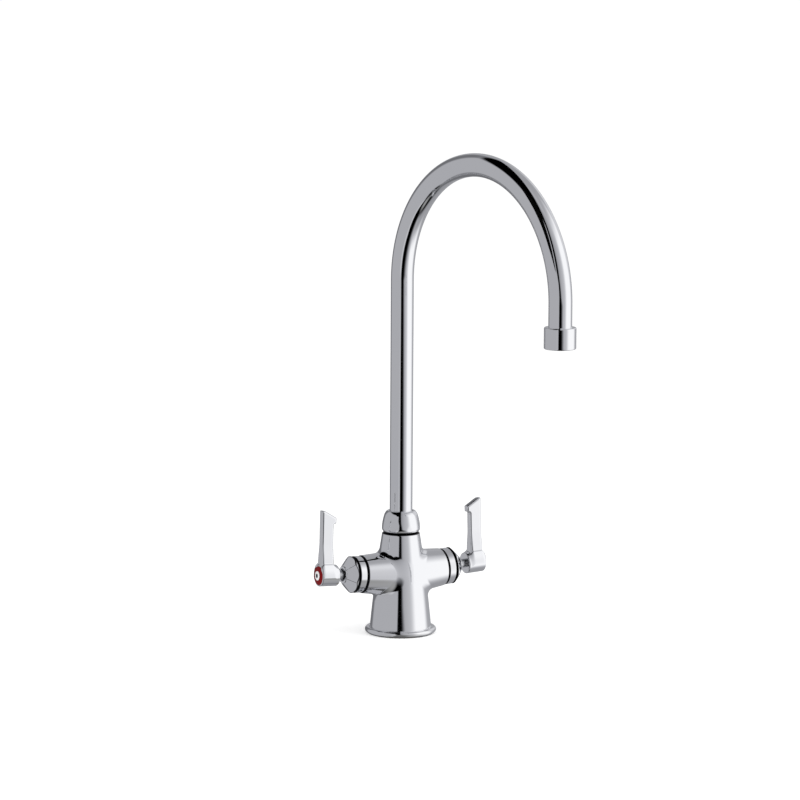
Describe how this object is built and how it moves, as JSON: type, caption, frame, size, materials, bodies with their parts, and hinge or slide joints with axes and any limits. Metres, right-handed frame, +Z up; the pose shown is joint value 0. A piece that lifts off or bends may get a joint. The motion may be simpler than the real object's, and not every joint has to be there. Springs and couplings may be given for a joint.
{
  "type": "deck-mount two-handle gooseneck kitchen faucet",
  "caption": "Chrome single-hole deck-mount kitchen faucet: tapered column, side arms with quarter-turn lever handles, swinging gooseneck spout, shank and locknut below the deck",
  "frame": {"origin": "centre of the faucet's foot on the plane of the deck, which is the underside of the base gasket", "axes": "+Z up along the column and the spout's swivel; +X out along the arm with the cold handle; -Y towards the user, the way the spout points when it stands straight ahead"},
  "size_m": [0.1566, 0.2429, 0.46],
  "materials": {
    "chrome": "polished chrome plate",
    "brass": "machined",
    "steel": "bright turned steel",
    "rubber": "matt moulded",
    "ceramic": "lapped",
    "nylon": "moulded",
    "white_button": "gloss moulded",
    "hot_red": "gloss moulded",
    "cold_blue": "gloss moulded"
  },
  "bodies": {
    "root": {"faucet_body": "chrome", "base_gasket": "rubber", "mounting_shank": "brass", "deck_rubber_washer": "rubber", "deck_steel_washer": "steel", "deck_locknut": "brass", "spout_nut": "chrome", "spout_bush": "nylon", "hot_bonnet_ring": "chrome", "hot_bonnet_nut": "chrome", "hot_valve_shell": "brass", "hot_fixed_disc": "ceramic", "hot_seat_seal": "rubber", "cold_bonnet_ring": "chrome", "cold_bonnet_nut": "chrome", "cold_valve_shell": "brass", "cold_fixed_disc": "ceramic", "cold_seat_seal": "rubber"},
    "spout": {"spout_tube": "chrome", "spout_foot": "brass", "spout_seal_rings": "rubber", "outlet_ring": "chrome", "insert_washer": "rubber", "insert_housing": "chrome", "flow_straightener": "nylon", "outlet_screen": "steel"},
    "hot_handle": {"hot_stem": "steel", "hot_stem_seal_rings": "rubber", "hot_stem_clip": "steel", "hot_moving_disc": "ceramic", "hot_lever": "chrome", "hot_index_ring": "hot_red", "hot_index_button": "white_button", "hot_handle_screw": "steel"},
    "cold_handle": {"cold_stem": "steel", "cold_stem_seal_rings": "rubber", "cold_stem_clip": "steel", "cold_moving_disc": "ceramic", "cold_lever": "chrome", "cold_index_ring": "cold_blue", "cold_index_button": "white_button", "cold_handle_screw": "steel"}
  },
  "joints": [
    {"name": "spout_swivel", "type": "hinge", "parent": "root", "child": "spout", "pos_m": [0, 0, 0.08], "axis": [0, 0, 1], "continuous": true},
    {"name": "hot_handle_turn", "type": "hinge", "parent": "root", "child": "hot_handle", "pos_m": [0, 0, 0.0498], "axis": [0.9986, 0, -0.0523], "range_deg": [0, 90]},
    {"name": "cold_handle_turn", "type": "hinge", "parent": "root", "child": "cold_handle", "pos_m": [0, 0, 0.0498], "axis": [0.9986, 0, 0.0523], "range_deg": [0, 90]}
  ]
}
